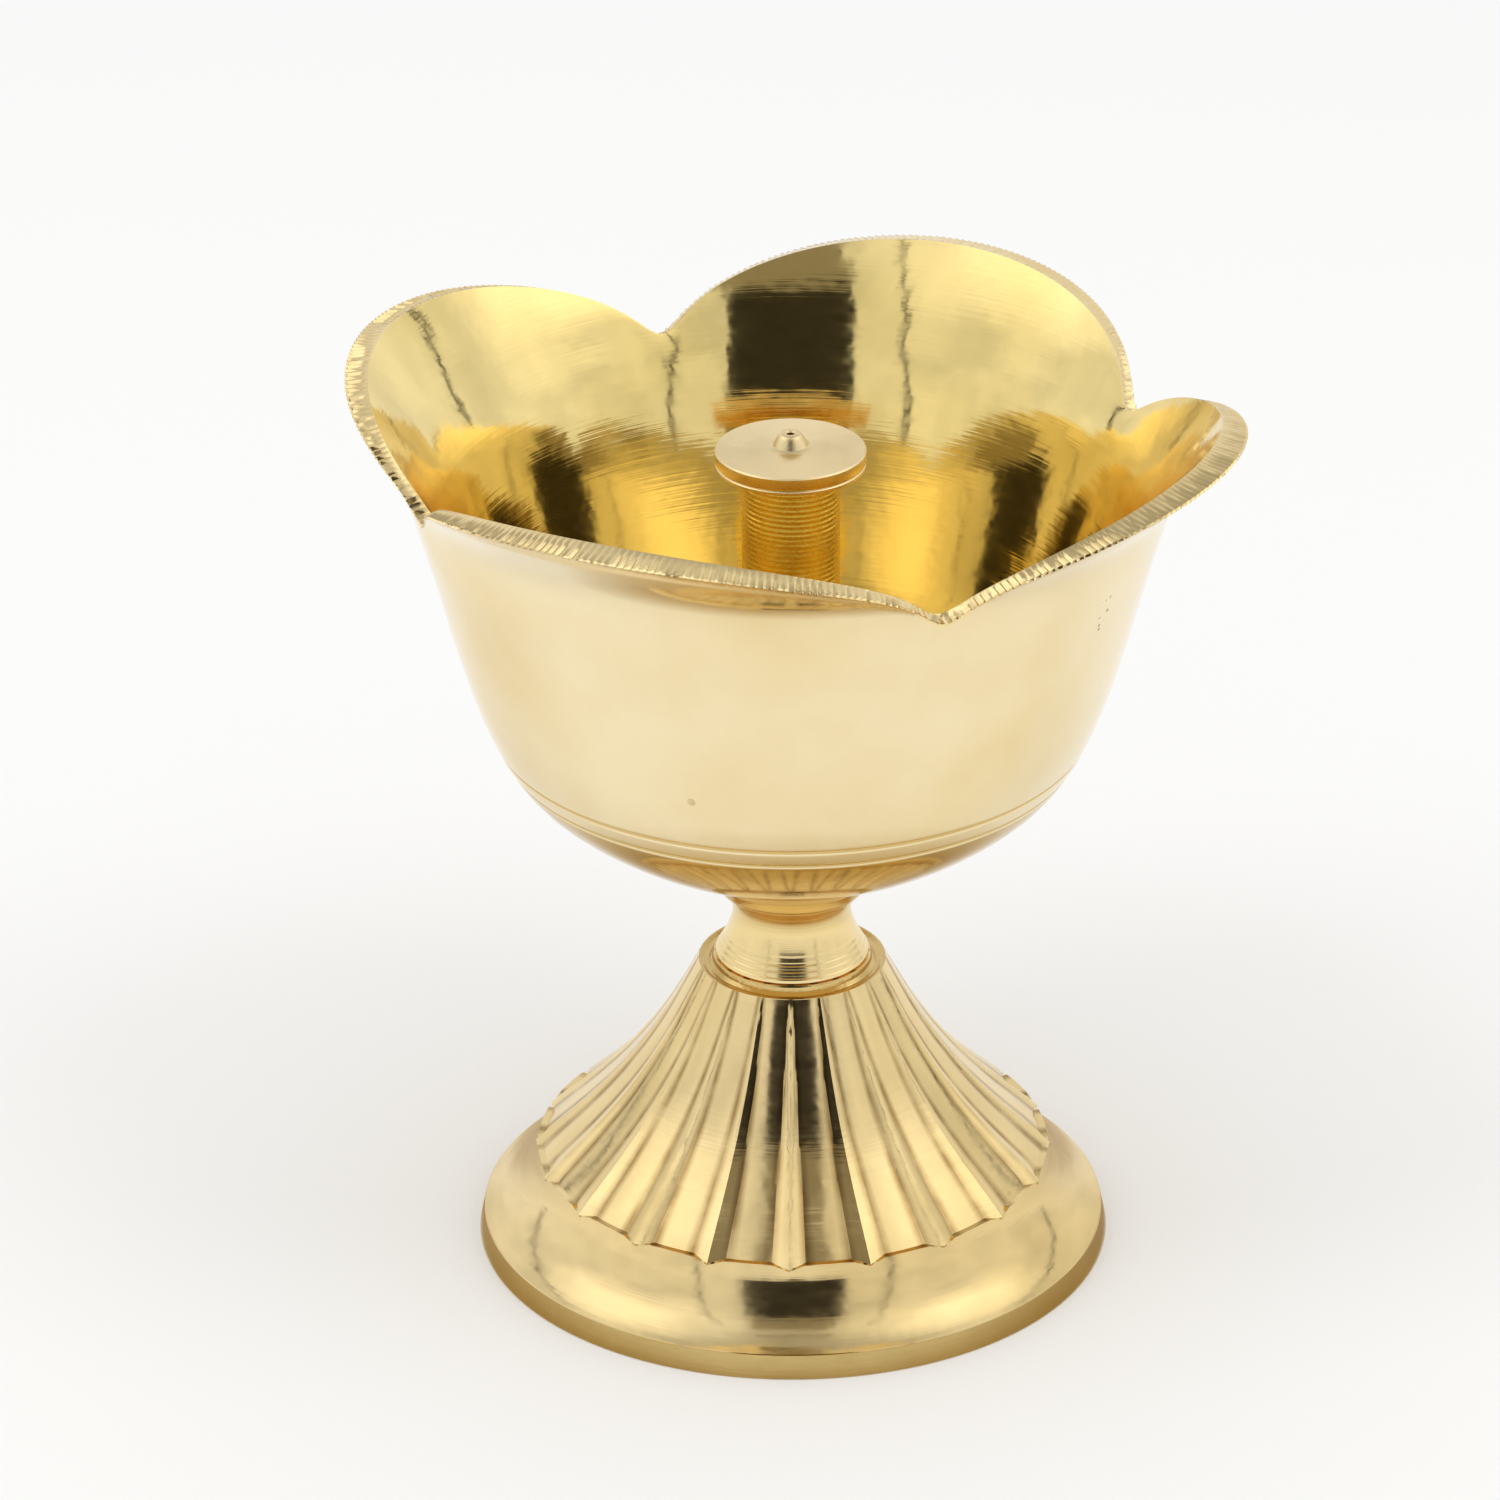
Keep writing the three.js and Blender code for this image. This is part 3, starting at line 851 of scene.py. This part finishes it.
def wick_disc():
    """The disc on the post, with a stepped edge, a faintly coned face and the nozzle for the wick."""
    nozzle = smooth(
        [
            (0.98, DISC_CENTRE),
            (0.82, DISC_CENTRE + 0.3),
            (0.6, NOZZLE_TOP - 0.08),
            (0.42, NOZZLE_TOP),
        ],
        14,
    )
    rise = DISC_CENTRE - DISC_EDGE
    face = [(r, DISC_EDGE + rise * (1 - r / 4.1)) for r in np.linspace(FACE_OUTER, FACE_INNER, 12)]
    profile = np.array(
        [
            (WICK_HOLE, TENON_TOP + 0.02),
            (TENON_RADIUS + 0.02, TENON_TOP + 0.02),
            (TENON_RADIUS + 0.02, DISC_BASE),
            (DISC_RADIUS - 0.12, DISC_BASE),
            (DISC_RADIUS - 0.03, DISC_BASE + 0.05),
            (DISC_RADIUS - 0.02, DISC_BASE + 0.2),
            (DISC_RADIUS - 0.09, DISC_BASE + 0.27),
            (DISC_RADIUS - 0.02, DISC_BASE + 0.34),
            (DISC_RADIUS, DISC_BASE + 0.4),
            (DISC_RADIUS, DISC_EDGE - 0.08),
            (DISC_RADIUS - 0.08, DISC_EDGE),
            *face,
            *nozzle,
            (WICK_HOLE + 0.06, NOZZLE_TOP - 0.02),
            (WICK_HOLE, NOZZLE_TOP - 0.1),
        ]
    )
    grid = turned(profile, 128)
    skins = [DISC_SKIN]
    make_piece("wick_disc_faced", HOLDER, ["wick_disc"], grid, skins, closed=True, crease=30)


wick_post()
wick_disc()


# ---- stud, washer and nut ------------------------------------------------------------------------

THREAD_PITCH = 0.5
THREAD_DEPTH = 0.26
THREAD_END = 0.3  # the bare length at each end of the stud
STUD_RADIUS = stud_high[0]
STUD_END_RADIUS = STUD_RADIUS - 0.35
WASHER_HOLE = 1.6  # its radius
WASHER_CHAMFER = 0.08
NUT_HOLE = 1.56  # its radius
NUT_CHAMFER = 0.28


def thread(azimuth, radius, height):
    """The helical thread's cut into the stud's side, none on its ends."""
    turns = height / THREAD_PITCH + azimuth / (2 * math.pi)
    cut = THREAD_DEPTH * np.abs(2 * (turns % 1.0) - 1)
    return np.where(radius > STUD_RADIUS - 0.01, -cut, 0.0)


def threaded_stud():
    heights = np.arange(stud_low[2] + THREAD_END, stud_high[2] - THREAD_END, THREAD_PITCH / 6)
    stud = np.array(
        [
            (0, stud_low[2]),
            (STUD_END_RADIUS, stud_low[2]),
            *((STUD_RADIUS, height) for height in heights),
            (STUD_END_RADIUS, stud_high[2]),
            (0, stud_high[2]),
        ]
    )
    make_piece("stud_threaded", STAND, ["stud"], turned(stud, 48, thread), [HARDWARE])


def plain_washer():
    low, high = washer_low[2], washer_high[2]
    outer = washer_high[0]
    washer = np.array(
        [
            (WASHER_HOLE, low),
            (outer - WASHER_CHAMFER, low),
            (outer, low + WASHER_CHAMFER),
            (outer, high - WASHER_CHAMFER),
            (outer - WASHER_CHAMFER, high),
            (WASHER_HOLE, high),
        ]
    )
    grid = turned(washer, 96)
    make_piece("washer_plain", STAND, ["washer"], grid, [HARDWARE], closed=True)


def hexagon_nut():
    """A nut whose rows follow a hexagon, cut back to a circle at its chamfered faces."""
    low, high = nut_low[2], nut_high[2]
    flats = min(nut_high[0], nut_high[1])
    corner = flats / math.cos(math.pi / 6)
    columns = 96
    corner_on_y = nut_high[1] > nut_high[0]
    turn = math.pi / 2 if corner_on_y else 0.0
    azimuth = np.linspace(0, 2 * math.pi, columns, endpoint=False) + turn
    sector = (azimuth - turn) % (math.pi / 3) - math.pi / 6
    side = flats / np.cos(sector)
    rows = []
    for radius, height in (
        (NUT_HOLE, low + 0.1),
        (NUT_HOLE + 0.19, low),
        (flats - 0.05, low),
        (corner, low + NUT_CHAMFER),
        (corner, high - NUT_CHAMFER),
        (flats - 0.05, high),
        (NUT_HOLE, high),
    ):
        rows.append(around(azimuth, np.minimum(side, radius), height))
    grid = np.stack(rows)
    make_piece("nut_hexagon", STAND, ["nut"], grid, [HARDWARE], closed=True, crease=25)


threaded_stud()
plain_washer()
hexagon_nut()


# ---- studio --------------------------------------------------------------------------------------

WORLD_LIGHT = 0.88
FLOOR_HALF = 3.0
SHADE_HEIGHT = 0.00002
SHADE_INNER = FOOT_RADIUS * MM * 1.01
SHADE_OUTER = FOOT_RADIUS * MM * 1.7
TENT_RADIUS = 1.0
TENT_TONES = ((0.0, 0.97), (0.5, 0.86), (0.77, 0.72), (0.94, 0.5), (1.0, 0.42))  # height and light
LAMPS = (  # azimuth and elevation in degrees, and strength, of each bright patch
    (58, 57, 0.42),
    (-58, 57, 0.42),
    (94, 48, 0.62),
    (-94, 48, 0.62),
)
GLOW_CORE = 0.14 * TENT_RADIUS  # how far a lamp's patch keeps its full strength
GLOW_REACH = 0.42 * TENT_RADIUS  # and where it ends
PATCH_RADIUS = 0.8
PATCH_STEP = 5  # degrees between a dome's vertices
SEAMS = (-122, -41, 41, 122)  # their azimuths, in degrees
SEAM_HALF = 0.8  # half a seam's width, in degrees
SOFT_LIGHT_PLACE = (0.27, -0.17, 0.54)  # the right-hand one's
SOFT_LIGHT_SIZE = (0.2, 0.26)
SOFT_LIGHT_POWER = 0.42
SOFT_LIGHT_TARGET = (0, 0, 0.025)


def matt(name):
    """A node tree for a surface with no gloss of its own."""
    nodes = Nodes(name)
    nodes.shader.inputs["Roughness"].default_value = 0.9
    nodes.shader.inputs["Specular IOR Level"].default_value = 0.0
    return nodes


def plain_material(name, colour):
    nodes = matt(name)
    shade = tuple(0.985 * channel for channel in colour)
    cloud = nodes.ramp(nodes.noise(3, 2), 0.3, 0.7, 0.0, 1.0)
    nodes.join(nodes.mixed(cloud, colour, shade), nodes.shader.inputs["Base Color"])
    return nodes.material


def shade_material():
    """The floor close round the foot, darker towards it, as reflections in the brass see it."""
    nodes = matt("floor_shade")
    share = nodes.ramp(nodes.distance(nodes.place, (0, 0, 0)), SHADE_INNER, SHADE_OUTER, 0.0, 1.0)
    # Painted shadow round the foot, tinted warm as painted light bounced off the brass
    colour = nodes.mixed(share, (0.60, 0.48, 0.30), (0.93, 0.93, 0.92))
    nodes.join(colour, nodes.shader.inputs["Base Color"])
    return nodes.material


def on_dome(azimuth, elevation, radius):
    """A point of a dome round the lamp. Azimuth 0 is the camera's side, and positive is its right."""
    across = radius * math.cos(elevation)
    return (across * math.sin(azimuth), -across * math.cos(azimuth), radius * math.sin(elevation))


def tent_material():
    """Cloth lit from outside: brightest near the floor, dimmer overhead, with soft bright patches
    where the lamps stand behind it."""
    nodes = Nodes("tent_cloth")
    _, _, height = nodes.xyz()
    tone = nodes.add("ShaderNodeValToRGB")
    for place, _ in TENT_TONES[1:-1]:
        tone.color_ramp.elements.new(place)
    for element, (place, value) in zip(tone.color_ramp.elements, TENT_TONES):
        element.position = place
        element.color = (value, value, value, 1)
    nodes.join(nodes.math("DIVIDE", height, TENT_RADIUS), tone.inputs["Fac"])
    cloth = nodes.ramp(nodes.noise(5, 5, 0.55), 0.32, 0.68, 0.84, 1.1)
    light = nodes.math("MULTIPLY", tone.outputs["Color"], cloth)
    for azimuth, elevation, strength in LAMPS:
        centre = on_dome(math.radians(azimuth), math.radians(elevation), TENT_RADIUS)
        away = nodes.distance(nodes.place, centre)
        light = nodes.math("ADD", light, nodes.ramp(away, GLOW_CORE, GLOW_REACH, strength, 0.0))
    shader = nodes.add("ShaderNodeEmission")
    nodes.join(light, shader.inputs["Strength"])
    nodes.join(shader.outputs["Emission"], nodes.tree.nodes["Material Output"].inputs["Surface"])
    return nodes.material


def stage_mesh(name, points, faces, material, seen=False):
    """A piece of the studio. One that isn't seen shows in reflections only."""
    mesh = bpy.data.meshes.new(name)
    mesh.from_pydata(points, [], faces)
    mesh.materials.append(material)
    obj = bpy.data.objects.new(name, mesh)
    bpy.context.collection.objects.link(obj)
    obj.visible_camera = seen
    obj.visible_diffuse = seen
    obj.visible_shadow = False


def sky_patch(name, azimuths, elevations, radius, material):
    """A piece of a dome round the lamp, between two azimuths and two elevations in degrees."""
    across, up = (
        np.radians(np.linspace(low, high, max(2, round((high - low) / PATCH_STEP) + 1)))
        for low, high in (azimuths, elevations)
    )
    points = [on_dome(azimuth, elevation, radius) for elevation in up for azimuth in across]
    columns = len(across)
    corners = [row * columns + i for row in range(len(up) - 1) for i in range(columns - 1)]
    faces = [(at, at + 1, at + columns + 1, at + columns) for at in corners]
    stage_mesh(name, points, faces, material)


def floor():
    corners = [(-1, -1), (1, -1), (1, 1), (-1, 1)]
    points = [(x * FLOOR_HALF, y * FLOOR_HALF, 0) for x, y in corners]
    material = plain_material("floor_pale", (0.95, 0.95, 0.945))
    stage_mesh("studio_floor", points, [(0, 1, 2, 3)], material, seen=True)


def floor_shade():
    """A flat ring on the floor round the foot."""
    count = 96
    turn = np.linspace(0, 2 * math.pi, count, endpoint=False)
    radii = (SHADE_INNER, SHADE_OUTER)
    points = [(r * math.cos(a), r * math.sin(a), SHADE_HEIGHT) for r in radii for a in turn]
    faces = [(i, count + i, count + (i + 1) % count, (i + 1) % count) for i in range(count)]
    stage_mesh("floor_shade", points, faces, shade_material())


def tent():
    """A white tent all round, with a dark opening on the camera's side, a bar over it and seams."""
    dark = plain_material("tent_opening_dark", (0.036, 0.032, 0.026))
    dim = plain_material("tent_opening_dim", (0.32, 0.29, 0.24))
    stitching = plain_material("tent_seam_dark", (0.06, 0.05, 0.04))
    sky_patch("studio_tent", (-180, 180), (0, 90), TENT_RADIUS, tent_material())
    sky_patch("tent_opening", (-22, 22), (14, 50), PATCH_RADIUS, dark)
    sky_patch("tent_opening_top", (-22, 22), (50, 63), PATCH_RADIUS, dim)
    sky_patch("tent_bar", (-25, 25), (69, 72), PATCH_RADIUS, dim)
    for azimuth in SEAMS:
        sides = (azimuth - SEAM_HALF, azimuth + SEAM_HALF)
        sky_patch("tent_seam_%d" % (azimuth % 360), sides, (0, 60), PATCH_RADIUS, stitching)


def white_world():
    world = bpy.data.worlds.new("tent_white")
    bpy.context.scene.world = world
    world.use_nodes = True
    background = world.node_tree.nodes["Background"]
    background.inputs["Color"].default_value = (1, 1, 1, 1)
    background.inputs["Strength"].default_value = WORLD_LIGHT


def soft_light(name, side):
    """A large light aimed at the bowl, on the left for side -1 and on the right for side 1. The tent's
    bright patches stand for it in reflections."""
    across, depth, height = SOFT_LIGHT_PLACE
    place = Vector((side * across, depth, height))
    data = bpy.data.lights.new(name, "AREA")
    data.shape = "RECTANGLE"
    data.size, data.size_y = SOFT_LIGHT_SIZE
    data.energy = SOFT_LIGHT_POWER
    obj = bpy.data.objects.new(name, data)
    bpy.context.collection.objects.link(obj)
    obj.location = place
    aim = Vector(SOFT_LIGHT_TARGET) - place
    obj.rotation_euler = aim.to_track_quat("-Z", "Y").to_euler()
    obj.visible_glossy = False


floor()
floor_shade()
tent()
white_world()
soft_light("overhead_left", -1)
soft_light("overhead_right", 1)


# ---- camera --------------------------------------------------------------------------------------

LENS = 186.5  # millimetres, as is SENSOR
SENSOR = 36
AIM = Vector((-0.00233, 0, 0.0303))
ELEVATION = math.radians(26.13)
DISTANCE = 0.4364
ROLL = math.radians(-0.33)
GLOSSY_BOUNCES = 12  # the polished bowl mirrors itself several times over
MAX_BOUNCES = 16


def front_camera():
    data = bpy.data.cameras.new("camera")
    data.lens = LENS
    data.sensor_width = SENSOR
    data.clip_start = 0.01
    camera = bpy.data.objects.new("camera", data)
    bpy.context.collection.objects.link(camera)
    out = Vector((0, -math.cos(ELEVATION), math.sin(ELEVATION)))
    camera.matrix_world = (
        Matrix.Translation(AIM + out * DISTANCE)
        @ out.to_track_quat("Z", "Y").to_matrix().to_4x4()
        @ Matrix.Rotation(ROLL, 4, "Z")
    )
    return camera


bpy.context.scene.camera = front_camera()
bpy.context.scene.view_settings.view_transform = "Standard"
bpy.context.scene.cycles.glossy_bounces = GLOSSY_BOUNCES
bpy.context.scene.cycles.max_bounces = MAX_BOUNCES
